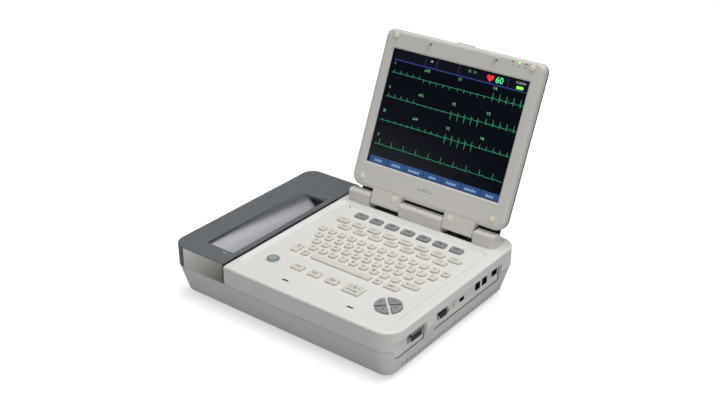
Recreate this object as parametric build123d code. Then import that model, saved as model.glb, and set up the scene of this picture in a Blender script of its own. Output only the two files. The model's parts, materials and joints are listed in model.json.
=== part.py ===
from build123d import *
import math
import os

# Portable ECG recorder: flat body, printer with a lift-up cover on the left,
# keyboard deck on the right and a fold-down display lid hinged along the back.
# Millimetres. +X is the user's right, +Y points away from the user, +Z is up.
# The origin is the centre of the footprint on the table.

# Body
WIDTH = 409.0
DEPTH = 325.2
FOOT_HEIGHT = 4.0
SEAM_Z = 53.6
DECK_Z = 84.0
DISH_Z = 80.0
ROOF_Z = 77.5
COVER_Z = 88.5
WALL = 2.5
TAPER = 16.3
BOTTOM_RADIUS = 7.0
TOP_RADIUS = 3.0
CORNERS = [(-1, -1, 21.0), (1, -1, 30.0), (1, 1, 28.0), (-1, 1, 21.0)]
CASING_LEFT = -98.6
FAR = 400.0

# Keyboard dish pressed into the deck
DISH = (-96.0, 187.5, -140.5, 112.0)
DISH_SLOPE = 6.0
DISH_CORNER = 17.0

# Display lid: x, v up the lid from the hinge axis, n out of the display face
LID_X = 52.0
HINGE_Y = 128.2
HINGE_Z = 94.5
LEAN = 22.85
LID_WIDTH = 285.0
LID_BOTTOM = 15.0
LID_TOP = 270.5
FACE_N = 9.5
SPLIT_N = -4.6
BACK_N = -11.5
TAB_X = (40.73, 95.5)
TAB_BOTTOM = -7.6
SCREEN = (246.0, 55.8, 240.4)
PLATE_N = 5.9
PIN_RADIUS = 3.0
RUNNING_GAP = 0.05
LATCH_X = 58.8
LATCH_V = 259.35

# Hinge covers on the deck: left and right ends measured from the lid centre
HINGE_COVERS = [(-138.0, -97.0), (-40.0, 40.0), (97.0, 135.0)]
HINGE_FRONT = 10.9
HINGE_RISE = 10.2
HINGE_REAR = 21.8
HINGE_PINS = [(-132.0, -22.0), (22.0, 132.0)]

# Keys
KEY_HEIGHT = 3.0
KEY_GAP = 0.4
KEY_FLANGE = 1.0
FLANGE_TOP = 77.3
FLANGE_THICKNESS = 1.2

# Printer bay
COVER_RIGHT = -100.3
COVER_BACK = 104.5
PLATE_Z = 86.3
SKIRT_Z = 75.3
SLOT_Z = 73.5
PANEL_LEFT = -182.2
PANEL_RIGHT = -102.2
WINDOW = (-161.5, -107.8, -131.0, 83.6)
COVER_AXIS = (-104.0, 84.4)
EYE_RADIUS = 1.8
EYE_PLACES = (-110.0, 70.0)
COVER_PIN = 1.0
ROLL_AXIS = (-157.5, 53.0)
ROLL_RADIUS = 30.0
CORE_RADIUS = 9.0
PAPER_Y = (-124.0, 86.0)
PLATEN_AXIS = (-195.2, 80.0)
PLATEN_RADIUS = 5.5
GEAR_MODULE = 0.75
PLATEN_TEETH = 13
IDLER_TEETH = 14
PINION_TEETH = 12
GEAR_Y = (92.0, 96.0)
PINION_ANGLE = -30.0


# ---------------------------------------------------------------- helpers
def block(x0, x1, y0, y1, z0, z1):
    """Box between two opposite corners."""
    centre = Pos((x0 + x1) / 2, (y0 + y1) / 2, (z0 + z1) / 2)
    return centre * Box(x1 - x0, y1 - y0, z1 - z0)


def rounded(sketch, corners):
    """Round chosen corners of a sketch; corners are (x, y, radius)."""
    for x, y, radius in corners:
        vertex = sketch.vertices().sort_by_distance(Vector(x, y, 0))[0]
        sketch = fillet(vertex, radius)
    return sketch


def outline(offset=0.0):
    """Plan outline of the body, grown by the offset."""
    half_w = WIDTH / 2 + offset
    half_d = DEPTH / 2 + offset
    corners = [(sx * half_w, sy * half_d, radius + offset) for sx, sy, radius in CORNERS]
    return rounded(Rectangle(2 * half_w, 2 * half_d), corners)


def prism(sketch, z0, z1):
    """Upright prism of a plan sketch."""
    return Pos(0, 0, z0) * extrude(sketch, z1 - z0)


def narrowing(sketch, z_top, z_bottom, angle):
    """Prism that narrows downwards by the given angle."""
    return Pos(0, 0, z_top) * mirror(extrude(sketch, z_top - z_bottom, taper=angle), Plane.XY)


def rod_x(x0, x1, y, z, radius):
    """Cylinder along X."""
    return Pos((x0 + x1) / 2, y, z) * Rot(0, 90, 0) * Cylinder(radius, x1 - x0)


def rod_y(y0, y1, x, z, radius):
    """Cylinder along Y."""
    return Pos(x, (y0 + y1) / 2, z) * Rot(90, 0, 0) * Cylinder(radius, y1 - y0)


def rod_z(z0, z1, x, y, radius):
    """Cylinder along Z."""
    return Pos(x, y, (z0 + z1) / 2) * Cylinder(radius, z1 - z0)


def joined(pieces):
    """Fuse a list of touching solids."""
    whole = pieces[0]
    for piece in pieces[1:]:
        whole = whole + piece
    return whole


def group(pieces):
    """Keep separate solids side by side in one compound."""
    return Compound([solid for piece in pieces for solid in piece.solids()])


def side_window(y, z, width, height, radius):
    """Rounded rectangle drawn on the plane x = 0, ready to extrude along +X."""
    return Plane.YZ * Pos(y, z) * RectangleRounded(width, height, radius)


# ---------------------------------------------------------------- keyboard layout
def row(count, x0, pitch, y):
    """Positions of one straight row of keys."""
    return [(x0 + pitch * index, y) for index in range(count)]


# Each group: key width, depth, corner radius and the key positions
KEYS = {
    "function_keys": [(21.0, 14.0, 2.8, row(7, -37.4, 29.8, 87.5))],
    "patient_keys": [
        (22.6, 12.6, 5.6, row(8, -52.3, 29.8, 61.0)),
        (22.6, 12.6, 5.6, row(7, -37.4, 29.8, 43.7)),
    ],
    "character_keys": [
        (12.6, 12.0, 3.6, row(13, -60.8, 19.05, 19.5)),
        (12.6, 12.0, 3.6, row(12, -51.8, 19.05, 0.2)),
        (12.6, 12.0, 3.6, row(11, -42.4, 19.05, -18.2)),
        (12.6, 12.0, 3.6, row(9, -33.2, 19.05, -36.9)),
    ],
    "modifier_keys": [
        (12.6, 21.6, 3.0, [(-52.6, -50.7)]),
        (12.6, 12.0, 3.6, [(-33.2, -55.4), (101.4, -55.6)]),
        (27.0, 12.0, 3.0, [(146.0, -37.2)]),
        (24.4, 12.0, 3.0, [(126.2, -55.7)]),
    ],
    "space_bar": [(109.0, 12.0, 3.0, [(34.4, -55.5)])],
    "command_keys": [(20.0, 14.4, 2.6, row(3, -14.4, 32.0, -93.8))],
    "start_key": [(30.0, 22.7, 3.2, [(87.8, -93.5)])],
}
POWER_KEY = (-60.2, -97.1)
POWER_RADIUS = 9.4
POWER_COLLAR = 12.0
NAV_CENTRE = (151.5, -97.7)
NAV_RADIUS = 20.1
NAV_GAP = 4.0
NAV_KEYS = {"nav_key_right": 0, "nav_key_up": 90, "nav_key_left": 180, "nav_key_down": 270}


def press_key(shape, x, y, edge):
    """Silicone key: cap above the dish floor with a flange that keeps it under the deck."""
    top = DISH_Z + KEY_HEIGHT
    cap = prism(shape, FLANGE_TOP - FLANGE_THICKNESS, top)
    crown = cap.faces().sort_by(Axis.Z)[-1]
    cap = fillet(crown.edges(), edge)
    skirt = prism(offset(shape, KEY_FLANGE), FLANGE_TOP - FLANGE_THICKNESS, FLANGE_TOP)
    return Pos(x, y, 0) * (cap + skirt)


def key_group(rows):
    """All keys of one group as separate solids."""
    keys = []
    for width, depth, radius, places in rows:
        shape = RectangleRounded(width, depth, radius)
        keys += [press_key(shape, x, y, 1.1) for x, y in places]
    return group(keys)


def key_holes(rows):
    """Openings in the deck for one group of keys."""
    holes = []
    for width, depth, radius, places in rows:
        grown = 2 * KEY_GAP
        shape = RectangleRounded(width + grown, depth + grown, radius + KEY_GAP)
        holes += [Pos(x, y, 0) * prism(shape, ROOF_Z - 1, DECK_Z) for x, y in places]
    return group(holes)


def nav_sector(turn, grow=0.0):
    """One quarter of the round direction pad, apex rounded, pointing at the given angle."""
    apex = (NAV_GAP - 2 * grow) / math.sqrt(2)
    wedge = Polygon((apex, 0), (apex + FAR, -FAR), (apex + FAR, FAR), align=None)
    sector = wedge & Circle(NAV_RADIUS + grow)
    corners = [(vertex.X, vertex.Y, 1.4 + grow) for vertex in sector.vertices()]
    return Rot(0, 0, turn) * rounded(sector, corners)


def nav_key(turn):
    """Quarter key of the direction pad."""
    return press_key(nav_sector(turn), NAV_CENTRE[0], NAV_CENTRE[1], 1.0)


def power_key():
    """Round power key."""
    return press_key(Circle(POWER_RADIUS), POWER_KEY[0], POWER_KEY[1], 1.2)


def power_collar():
    """Low ring around the power key, resting on the dish floor."""
    ring = Circle(POWER_COLLAR) - Circle(POWER_RADIUS + KEY_GAP)
    collar = prism(ring, DISH_Z, DISH_Z + 1.2)
    rim = collar.faces().sort_by(Axis.Z)[-1].outer_wire().edges()
    return Pos(POWER_KEY[0], POWER_KEY[1], 0) * fillet(rim, 0.8)


def switch_board():
    """Printed board under the keys that carries their contacts."""
    board = block(-88.0, 178.0, -122.0, 100.0, 72.6, 74.2)
    posts = [rod_z(74.2, ROOF_Z, x, y, 3.0) for x in (-80.0, 172.0) for y in (-116.0, 94.0)]
    return joined([board] + posts)


# ---------------------------------------------------------------- body
SCREW_PLACES = [(x, y) for x in (-88.0, 50.0, 176.0) for y in (-134.0, 140.0)]
BATTERY_DOOR = (20.0, 130.0, -70.0, 20.0)
FOOT_PLACES = [(0.0, 0.0)] + [(x, y) for x in (-160.0, 160.0) for y in (-120.0, 120.0)]
SOCKET_PLANE = 199.0
SOCKET_BAYS = [(-175.0, -80.8), (-56.8, 115.2)]
SOCKET_BAY_Z = (38.5, 68.2)
BAY_GROOVE = 1.6
VENT_PITCH = 9.94
VENT_COUNT = 26


def socket_pad(z0, z1):
    """Thicker band of side wall behind the socket bays."""
    return block(194.6, FAR, -160.0, 120.0, z0, z1)


def socket_bays():
    """Bays in the right side that carry the sockets, with a groove along the foot and the rear end."""
    z0, z1 = SOCKET_BAY_Z
    floor = SOCKET_PLANE - 3.0
    cuts = []
    for y0, y1 in SOCKET_BAYS:
        bay = block(SOCKET_PLANE, FAR, y0, y1, z0, z1)
        foot = block(floor, FAR, y0, y1, z0, z0 + BAY_GROOVE)
        end = block(floor, FAR, y1 - BAY_GROOVE, y1, z0, z1)
        cuts.append(joined([bay, foot, end]))
    return group(cuts)


def side_vents():
    """Row of upright cooling slots low on the right side, in a wall thinned from inside."""
    first_y = -120.0
    slots = []
    for index in range(VENT_COUNT):
        y = first_y + VENT_PITCH * index
        slots.append(block(180.0, 215.0, y - 1.5, y + 1.5, 8.5, 19.5))
    inside = narrowing(outline(-1.3), SEAM_Z, FOOT_HEIGHT + WALL, TAPER)
    slots.append(inside & block(180.0, 215.0, -124.0, 134.0, 10.0, 21.0))
    return joined(slots)


def back_vents():
    """Short row of cooling slots low on the back."""
    slots = [block(x - 1.1, x + 1.1, 140.0, 170.0, 14.0, 26.0) for x in range(20, 160, 10)]
    return group(slots)


def seam_groove():
    """Narrow shadow groove all round, just below the seam between the casings."""
    z0, z1 = SEAM_Z - 0.9, SEAM_Z + 1.0
    return prism(outline(1.0), z0, z1) - prism(outline(-1.2), z0 - 1.0, z1 + 1.0)


def lower_casing():
    """Tub that tapers towards the table."""
    tub = narrowing(outline(), SEAM_Z, FOOT_HEIGHT, TAPER)
    tub = fillet(tub.faces().sort_by(Axis.Z)[0].edges(), BOTTOM_RADIUS)
    tub = tub - seam_groove()
    hollow = narrowing(outline(-WALL), SEAM_Z, FOOT_HEIGHT + WALL, TAPER)
    hollow = hollow - socket_pad(34.0, SEAM_Z)
    tub = tub - hollow
    bosses = [rod_z(FOOT_HEIGHT + 1, SEAM_Z, x, y, 4.5) for x, y in SCREW_PLACES]
    tub = joined([tub] + bosses)
    x0, x1, y0, y1 = BATTERY_DOOR
    ledge = block(x0 - 2, x1 + 2, y0 - 2, y1 + 2, 6.0, 8.0)
    tub = tub + ledge
    tub = tub - block(x0, x1, y0, y1, 0, 6.4)
    tub = tub - block(x0 + 4, x1 - 4, y0 + 4, y1 - 4, 0, 10)
    for x, y in SCREW_PLACES:
        tub = tub - rod_z(0, 7.0, x, y, 3.4) - rod_z(0, SEAM_Z + 1, x, y, 1.8)
    for x, y in FOOT_PLACES:
        tub = tub - rod_z(0, 5.0, x, y, 8.1)
    return tub - side_vents() - back_vents() - socket_bays() - socket_holes()


def dish_cut():
    """Soft-edged hollow that sinks the keyboard below the deck rim."""
    x0, x1, y0, y1 = DISH
    sketch = Pos((x0 + x1) / 2, (y0 + y1) / 2) * RectangleRounded(x1 - x0, y1 - y0, DISH_CORNER)
    angle = math.degrees(math.atan2(DISH_SLOPE, DECK_Z - DISH_Z))
    return narrowing(sketch, DECK_Z, DISH_Z, angle)


def hinge_wells():
    """Openings in the deck that clear the lid tabs as the lid turns."""
    inner = TAB_X[0] - 0.5
    outer = TAB_X[1] + 0.6
    wells = []
    for x0, x1 in ((LID_X - outer, LID_X - inner), (LID_X + inner, LID_X + outer)):
        wells.append(block(x0, x1, HINGE_Y - HINGE_FRONT, HINGE_Y + 15.0, ROOF_Z - 1, DECK_Z + 5))
    return group(wells)


def latch_slots():
    """Slots in the dish floor that take the lid hooks, thinned from below."""
    y = HINGE_Y - LATCH_V
    cuts = []
    for side in (-1, 1):
        slot = RectangleRounded(11.0, 3.6, 1.0)
        pocket = RectangleRounded(17.0, 8.0, 1.0)
        x = LID_X + side * LATCH_X
        cuts.append(Pos(x, y, 0) * (prism(slot, ROOF_Z - 1, DECK_Z) + prism(pocket, ROOF_Z - 1, 78.5)))
    return group(cuts)


MAINS_X = 150.0
EARTH_X = 108.0
BACK_SOCKET_Z = 66.0
SOCKETS = {
    "patient_socket": (-102.1, 56.1, 36.0, 12.6, 3.0),
    "serial_socket": (-35.2, 55.9, 29.0, 12.4, 5.4),
    "small_port": (15.4, 54.2, 12.0, 6.0, 1.0),
    "usb_port_first": (57.3, 56.3, 13.4, 13.4, 0.8),
    "usb_port_second": (76.1, 56.4, 13.4, 13.4, 0.8),
    "network_port": (103.4, 57.5, 15.0, 11.0, 1.0),
}
USB_PORTS = ["usb_port_first", "usb_port_second"]
JACK = (-6.2, 56.0, 4.0)
DECK_LAMP = (-73.1, 109.4 - 6.0, 1.0)


def socket_holes():
    """Openings behind the sockets, the jack, the mains inlet and the earth post."""
    holes = []
    for y, z, width, height, radius in SOCKETS.values():
        cut = side_window(y, z, width + 0.3, height + 0.3, radius)
        holes.append(Pos(190, 0, 0) * extrude(cut, 20))
    holes.append(rod_x(190, 210, JACK[0], JACK[1], JACK[2] + 0.1))
    x, z = MAINS_X, BACK_SOCKET_Z
    holes.append(block(x - 14.2, x + 14.2, 155, 170, z - 10.2, z + 10.2))
    holes.append(rod_y(155, 170, EARTH_X, BACK_SOCKET_Z, 3.1))
    return group(holes)


def upper_casing():
    """Deck and side walls right of the printer, with the keyboard dish."""
    shell = prism(outline(), SEAM_Z, DECK_Z)
    shell = fillet(shell.faces().sort_by(Axis.Z)[-1].edges(), TOP_RADIUS)
    shell = shell - block(-FAR, CASING_LEFT, -FAR, FAR, 0, 200)
    hollow = prism(outline(-WALL), SEAM_Z, ROOF_Z)
    hollow = hollow & block(CASING_LEFT + WALL, FAR, -FAR, FAR, 0, 200)
    hollow = hollow - socket_pad(SEAM_Z - 1, 72.0)
    shell = shell - hollow - dish_cut() - hinge_wells() - latch_slots()
    bosses = [rod_z(SEAM_Z, ROOF_Z, x, y, 4.5) for x, y in SCREW_PLACES]
    shell = joined([shell] + bosses)
    for x, y in SCREW_PLACES:
        shell = shell - rod_z(SEAM_Z - 1, 66.0, x, y, 1.5)
    for rows in KEYS.values():
        shell = shell - key_holes(rows)
    for turn in NAV_KEYS.values():
        hole = prism(nav_sector(turn, KEY_GAP), ROOF_Z - 1, DECK_Z)
        shell = shell - Pos(NAV_CENTRE[0], NAV_CENTRE[1], 0) * hole
    shell = shell - rod_z(ROOF_Z - 1, DECK_Z, POWER_KEY[0], POWER_KEY[1], POWER_RADIUS + KEY_GAP)
    shell = shell - rod_z(ROOF_Z - 1, DECK_Z + 1, DECK_LAMP[0], DECK_LAMP[1], DECK_LAMP[2])
    return shell - socket_bays() - socket_holes()


def casing_screws():
    """Six screws that clamp the two casings from below."""
    screws = []
    for x, y in SCREW_PLACES:
        head = rod_z(4.6, 7.0, x, y, 2.9)
        socket = rod_z(4.0, 5.8, x, y, 1.3)
        screws.append(head + rod_z(7.0, 62.0, x, y, 1.5) - socket)
    return group(screws)


def rubber_feet():
    """Round rubber feet let into the bottom: one at each corner and one in the middle."""
    feet = []
    for x, y in FOOT_PLACES:
        foot = rod_z(0, 5.0, x, y, 8.1)
        feet.append(fillet(foot.faces().sort_by(Axis.Z)[0].edges(), 1.0))
    return group(feet)


def battery_door():
    """Cover plate of the battery bay, flush with the bottom."""
    x0, x1, y0, y1 = BATTERY_DOOR
    door = block(x0 + 0.2, x1 - 0.2, y0 + 0.2, y1 - 0.2, FOOT_HEIGHT, 6.4)
    grip = Pos((x0 + x1) / 2, y0 + 12, FOOT_HEIGHT) * Box(30, 8, 2)
    return door - grip


def battery_pack():
    """Rechargeable pack above its door, resting on the door ledge."""
    x0, x1, y0, y1 = BATTERY_DOOR
    pack = block(x0 + 1, x1 - 1, y0 + 1, y1 - 1, 8.0, 28.0)
    return fillet(pack.edges().filter_by(Axis.Z), 3.0)


def rating_plate():
    """Blank data plate under the body."""
    return Pos(-60, -30, FOOT_HEIGHT - 0.3) * extrude(RectangleRounded(70, 45, 2), 0.3)


def main_board():
    """Main circuit board on four pillars of the lower casing."""
    board = block(-84.0, 188.0, -124.0, 124.0, 40.0, 41.6)
    chips = [block(x, x + 26, y, y + 26, 41.6, 44.0) for x, y in ((-30, 10), (30, -60), (90, 40))]
    pillars = [rod_z(6.5, 40.0, x, y, 4.0) for x in (-76.0, 180.0) for y in (-116.0, 110.0)]
    return joined([board] + chips + pillars)


def power_supply():
    """Metal-cased mains supply at the back."""
    case = block(-70.0, 10.0, 30.0, 118.0, 6.5, 36.0)
    return fillet(case.edges().filter_by(Axis.Z), 2.0)


def drilled_face(piece, x, places, radius, depth):
    """Pin holes sunk into a socket face along -X."""
    for y, z in places:
        piece = piece - rod_x(x - depth, x + 1, y, z, radius)
    return piece


def socket_body(name, depth, face_x):
    """Socket block filling its opening, set back into the body."""
    y, z, width, height, radius = SOCKETS[name]
    return Pos(face_x - depth, 0, 0) * extrude(side_window(y, z, width, height, radius), depth)


def patient_socket():
    """Fifteen-pole patient cable socket with its two jack posts."""
    y, z, width, height, _ = SOCKETS["patient_socket"]
    body = socket_body("patient_socket", 14, SOCKET_PLANE + 0.4)
    outer = Pos(SOCKET_PLANE + 0.4, 0, 0) * extrude(side_window(y, z, 27.0, 10.4, 3.6), 3.2)
    body = body + outer
    upper = [(y - 9.6 + 2.76 * index, z + 1.9) for index in range(8)]
    lower = [(y - 8.2 + 2.76 * index, z - 1.9) for index in range(7)]
    body = drilled_face(body, SOCKET_PLANE + 3.6, upper + lower, 0.7, 6)
    posts = [rod_x(SOCKET_PLANE + 0.4, SOCKET_PLANE + 3.4, y + side * 15.6, z, 2.0) for side in (-1, 1)]
    return joined([body] + posts)


def serial_socket():
    """Nine-pole data socket with a rounded metal flange."""
    y, z, _, _, _ = SOCKETS["serial_socket"]
    body = socket_body("serial_socket", 12, SOCKET_PLANE + 0.4)
    shell = Pos(SOCKET_PLANE + 0.4, 0, 0) * extrude(side_window(y, z, 18.0, 8.4, 3.0), 3.0)
    body = body + shell
    upper = [(y - 5.5 + 2.76 * index, z + 1.4) for index in range(5)]
    lower = [(y - 4.1 + 2.76 * index, z - 1.4) for index in range(4)]
    body = drilled_face(body, SOCKET_PLANE + 3.4, upper + lower, 0.6, 5)
    posts = [rod_x(SOCKET_PLANE + 0.4, SOCKET_PLANE + 3.2, y + side * 11.8, z, 1.9) for side in (-1, 1)]
    return joined([body] + posts)


def open_port(name, wall, tongue):
    """Open metal-lined port; the tongue is (width, height, z offset)."""
    y, z, width, height, radius = SOCKETS[name]
    body = socket_body(name, 16, SOCKET_PLANE + 0.2)
    mouth = side_window(y, z, width - 2 * wall, height - 2 * wall, max(radius - wall, 0.2))
    body = body - Pos(SOCKET_PLANE - 12, 0, 0) * extrude(mouth, 15)
    tongue_y, tongue_z, lift = tongue
    blade = Plane.YZ * Pos(y, z + lift) * Rectangle(tongue_y, tongue_z)
    return body + Pos(SOCKET_PLANE - 13, 0, 0) * extrude(blade, 10)


def audio_jack():
    """Round signal jack."""
    body = rod_x(184.0, SOCKET_PLANE + 0.8, JACK[0], JACK[1], JACK[2])
    return body - rod_x(188.0, SOCKET_PLANE + 2, JACK[0], JACK[1], 1.8)


def mains_inlet():
    """Three-pole mains inlet on the back wall."""
    back = DEPTH / 2
    z = BACK_SOCKET_Z
    flange = block(MAINS_X - 22, MAINS_X + 22, back, back + 1.8, z - 11.6, z + 11.6)
    body = block(MAINS_X - 14, MAINS_X + 14, back - 22, back, z - 10, z + 10)
    mouth = block(MAINS_X - 12, MAINS_X + 12, back - 16, back + 3, z - 8, z + 8)
    pins = []
    for shift, lift in ((-7, -1.5), (0, 2.5), (7, -1.5)):
        x = MAINS_X + shift
        pins.append(block(x - 1, x + 1, back - 17, back - 3, z + lift - 2, z + lift + 2))
    return joined([flange + body - mouth] + pins)


def earth_terminal():
    """Potential-equalisation post on the back wall."""
    back = DEPTH / 2
    collar = rod_y(back, back + 3, EARTH_X, BACK_SOCKET_Z, 5.5)
    post = rod_y(back - 10, back + 12, EARTH_X, BACK_SOCKET_Z, 3.1)
    return fillet((collar + post).faces().sort_by(Axis.Y)[-1].edges(), 0.8)


def deck_lamp():
    """Tiny mains lamp beside the left hinge cover."""
    x, y, radius = DECK_LAMP
    return rod_z(ROOF_Z, DECK_Z - 2.6, x, y, radius)


# ---------------------------------------------------------------- printer
def left_of(x):
    """Everything left of a plane."""
    return block(-FAR, x, -FAR, FAR, -10, 200)


def shell_ring(z0, z1):
    """Outer wall of the body between two heights."""
    return prism(outline(), z0, z1) - prism(outline(-WALL), z0 - 1, z1 + 1)


TUB = (-189.0, -106.0, -128.0, 88.0)
TUB_FLOOR = 20.0


def printer_housing():
    """Left part of the body: outer wall, paper tub and drive bracket."""
    wall = shell_ring(SEAM_Z, SLOT_Z) & left_of(COVER_RIGHT - 1.2)
    wall = wall - block(PANEL_LEFT - 0.2, FAR, -FAR, -DEPTH / 2 + 6, 0, 200)
    rear = shell_ring(SLOT_Z - 0.5, DECK_Z) & left_of(COVER_RIGHT - 1.2)
    rear = rear & block(-FAR, FAR, COVER_BACK + 0.4, FAR, 0, 200)
    pillar = block(-101.4, CASING_LEFT - 0.2, -DEPTH / 2 + 0.2, DEPTH / 2 - 0.2, SEAM_Z, 80.5)
    x0, x1, y0, y1 = TUB
    deck = block(-202.5, -101.0, -DEPTH / 2 + WALL, DEPTH / 2 - WALL, 55.6, 57.6)
    deck = deck & prism(outline(-WALL + 0.2), SEAM_Z, 60)
    tub = block(x0 - 2, x1 + 2, y0 - 2, y1 + 2, TUB_FLOOR - 2, 70.0)
    well = block(x0, x1, y0, y1, TUB_FLOOR, FAR)
    front_foot = block(PANEL_LEFT, -105.0, -DEPTH / 2 + WALL, -DEPTH / 2 + WALL + 2, SEAM_Z, 84.0)
    left_foot = block(-202.5, -200.5, -120.0, 120.0, SEAM_Z, 60.0)
    bracket = block(-201.0, -170.0, 98.0, 100.0, 56.0, 79.0)
    solids = [wall, rear, pillar, deck, tub, front_foot, left_foot, bracket]
    housing = joined(solids) - well + side_screen()
    rest = block(ROLL_AXIS[0] - 4.1, ROLL_AXIS[0] + 4.1, y0 - 3, y1 + 3, ROLL_AXIS[1], FAR)
    bearing = rod_y(y0 - 3, y1 + 3, ROLL_AXIS[0], ROLL_AXIS[1], 4.1)
    housing = housing - rest - bearing
    idler_x, idler_z = idler_axis()
    pinion_x, pinion_z = pinion_axis()
    housing = housing - rod_y(97, 101, idler_x, idler_z, 1.5) - rod_y(97, 101, pinion_x, pinion_z, 4.5)
    housing = housing - rod_y(100, 127, pinion_x, pinion_z, 12.3)
    return housing + cover_lugs(True)


def side_screen():
    """Wall under the cover's right edge that closes the view to the paper, notched for the hinge eyes."""
    x, z = COVER_AXIS
    screen = block(x - 2.0, x, -DEPTH / 2 + WALL, COVER_BACK, 56.0, z - 0.4)
    for y in EYE_PLACES:
        screen = screen - block(x - 3, x + 1, y - 4, y + 10.3, z - EYE_RADIUS - 0.3, z)
    return screen


def cover_lugs(fixed):
    """Hinge eyes along the cover's right edge: the fixed set or the moving set."""
    x, z = COVER_AXIS
    eyes = []
    for y in EYE_PLACES:
        if fixed:
            eye = rod_y(y - 4, y + 4, x, z, EYE_RADIUS)
            eye = eye + block(x - EYE_RADIUS, x + EYE_RADIUS, y - 4, y + 4, 60.0, z)
            eye = eye + block(x + 1.0, x + 2.8, y - 4, y + 4, 60.0, z - 3.4)
        else:
            eye = rod_y(y + 4.3, y + 10, x, z, EYE_RADIUS)
            eye = eye + block(x - EYE_RADIUS, x + EYE_RADIUS, y + 4.3, y + 10, z, PLATE_Z + 0.5)
        eyes.append(eye - rod_y(y - 12, y + 12, x, z, COVER_PIN + (RUNNING_GAP if fixed else 0)))
    return joined(eyes) if fixed else group(eyes)


def cover_hinge_pins():
    """Two steel pins pressed into the eyes of the cover."""
    x, z = COVER_AXIS
    return group([rod_y(y - 3.6, y + 9.4, x, z, COVER_PIN) for y in EYE_PLACES])


def window_sketch(grow=0.0):
    """Outline of the cover window, grown by the given amount."""
    x0, x1, y0, y1 = WINDOW
    shape = RectangleRounded(x1 - x0 + 2 * grow, y1 - y0 + 2 * grow, 1.5)
    return Pos((x0 + x1) / 2, (y0 + y1) / 2) * shape


def printer_cover():
    """Lift-up cover: top plate, left skirt, window opening with a finger notch, roller cheeks and eyes."""
    plate = prism(outline(), PLATE_Z, COVER_Z)
    plate = fillet(plate.faces().sort_by(Axis.Z)[-1].edges(), 1.6)
    region = block(-FAR, COVER_RIGHT, -FAR, COVER_BACK, 0, 200)
    skirt = shell_ring(SKIRT_Z, PLATE_Z) & region
    skirt = skirt - block(PANEL_LEFT - 0.2, FAR, -FAR, -DEPTH / 2 + 6, 0, 200)
    plate = plate & region
    hinge_side = plate.faces().sort_by(Axis.X)[-1]
    plate = chamfer(hinge_side.edges().sort_by(Axis.Z)[-1], 0.6)
    frame = prism(window_sketch(1.2), PLATE_Z - 1.0, PLATE_Z)
    cover = joined([plate, skirt, frame])
    cover = cover - prism(window_sketch(), PLATE_Z, 100) - prism(window_sketch(-1.2), 80, 100)
    notch = block(-117.7, WINDOW[1], WINDOW[3] - 1, 88.5, 87.3, 100)
    cover = cover - notch
    for y in (-126.4, 88.2):
        x, z = PLATEN_AXIS
        cheek = block(x - 4, x + 4, y, y + 2.0, z - 4.5, PLATE_Z)
        cover = cover + cheek - rod_y(y - 1, y + 3, x, z, 2.05)
    for eye in cover_lugs(False).solids():
        cover = cover + eye
    return cover


def printer_window():
    """Smoked clear pane over the paper roll."""
    return prism(window_sketch(-0.05), PLATE_Z, COVER_Z - 0.3)


def printer_rear_cap():
    """Fixed cap behind the lift-up cover."""
    cap = prism(outline(), DECK_Z, COVER_Z)
    cap = fillet(cap.faces().sort_by(Axis.Z)[-1].edges(), 1.6)
    cap = cap & block(-FAR, COVER_RIGHT, COVER_BACK + 0.5, FAR, 0, 200)
    hollow = prism(outline(-WALL), DECK_Z - 1, PLATE_Z)
    return cap - (hollow & block(-FAR, COVER_RIGHT - WALL, COVER_BACK + 3, FAR, 0, 200))


def printer_front_panel():
    """Plain panel in front of the paper tub, rounded where the cover's edge swings past."""
    x0, x1 = PANEL_LEFT, PANEL_RIGHT
    front = -DEPTH / 2
    panel = block(x0, x1, front, front + WALL, SEAM_Z + 0.3, PLATE_Z - 0.3)
    right = panel.faces().sort_by(Axis.X)[-1]
    panel = fillet(right.edges().sort_by(Axis.Z)[-1], 1.8)
    return fillet(panel.faces().sort_by(Axis.Y)[0].edges(), 0.6)


def paper_roll():
    """Roll of chart paper on its card core."""
    roll = rod_y(PAPER_Y[0], PAPER_Y[1], ROLL_AXIS[0], ROLL_AXIS[1], ROLL_RADIUS)
    roll = roll - rod_y(PAPER_Y[0] - 1, PAPER_Y[1] + 1, ROLL_AXIS[0], ROLL_AXIS[1], CORE_RADIUS)
    return chamfer(roll.edges().filter_by(GeomType.CIRCLE), 0.3)


def roll_spindle():
    """Spindle through the core with two locating hubs."""
    x, z = ROLL_AXIS
    rod = rod_y(TUB[2] - 1.8, TUB[3] + 1.8, x, z, 4.0)
    front_hub = rod_y(PAPER_Y[0] + 1, PAPER_Y[0] + 9, x, z, CORE_RADIUS)
    back_hub = rod_y(PAPER_Y[1] - 9, PAPER_Y[1] - 1, x, z, CORE_RADIUS)
    return joined([rod, front_hub, back_hub])


def paper_web():
    """Strip of paper from the roll to the print line and out of the side slot."""
    nip_x = PLATEN_AXIS[0]
    nip_z = PLATEN_AXIS[1] - PLATEN_RADIUS - 0.15
    turn_x = nip_x + 5.5
    gap = ROLL_RADIUS + 0.05
    run = math.hypot(ROLL_AXIS[0] - turn_x, nip_z - ROLL_AXIS[1])
    towards = math.atan2(nip_z - ROLL_AXIS[1], turn_x - ROLL_AXIS[0])
    lift = towards - math.acos(gap / run)
    touch = (ROLL_AXIS[0] + gap * math.cos(lift), ROLL_AXIS[1] + gap * math.sin(lift))
    path = [(nip_x - 10.0, nip_z), (nip_x - 5.0, nip_z), (turn_x, nip_z), touch]
    upper = [(x, z + 0.1) for x, z in path[:3]]
    outward = (math.cos(lift) * 0.1, math.sin(lift) * 0.1)
    upper.append((touch[0] + outward[0], touch[1] + outward[1]))
    strip = Polygon(*path, *reversed(upper), align=None)
    return extrude(Plane.XZ.offset(-PAPER_Y[1]) * strip, PAPER_Y[1] - PAPER_Y[0])


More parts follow.
